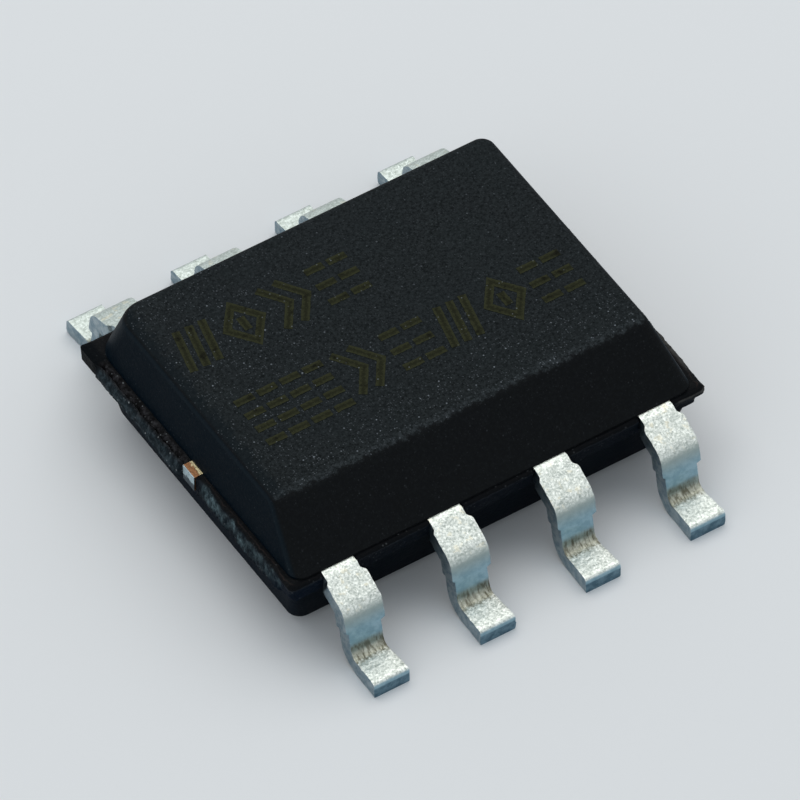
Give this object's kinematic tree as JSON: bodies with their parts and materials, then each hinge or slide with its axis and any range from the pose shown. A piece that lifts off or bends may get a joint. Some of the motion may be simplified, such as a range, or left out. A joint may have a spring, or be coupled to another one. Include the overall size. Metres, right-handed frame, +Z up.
{
  "type": "soic chip",
  "caption": "Small-outline integrated circuit: a black moulded body with a bevelled side and gull-wing leads along both long sides, for surface mounting.",
  "frame": {"origin": "centre of the package in plan, at the level of the board that its feet stand on", "axes": "+X along the rows of leads, +Y across the package from the bevelled lead 1 side to the other side, +Z up, away from the board"},
  "size_m": [0.005, 0.0058, 0.0016],
  "materials": {
    "mould": "fine-grained black moulding compound",
    "tin": "matte tin plate over copper",
    "copper": "bare copper sheet",
    "silver_epoxy": "cured silver-filled adhesive",
    "silicon": "polished silicon",
    "gold": "bare gold wire"
  },
  "bodies": {
    "root": {"mould_body": "mould", "lead_1": "tin", "lead_2": "tin", "lead_3": "tin", "lead_4": "tin", "lead_5": "tin", "lead_6": "tin", "lead_7": "tin", "lead_8": "tin", "die_pad": "copper", "die_attach": "silver_epoxy", "die": "silicon", "bond_wire_1": "gold", "bond_wire_2": "gold", "bond_wire_3": "gold", "bond_wire_4": "gold", "bond_wire_5": "gold", "bond_wire_6": "gold", "bond_wire_7": "gold", "bond_wire_8": "gold"}
  },
  "joints": []
}
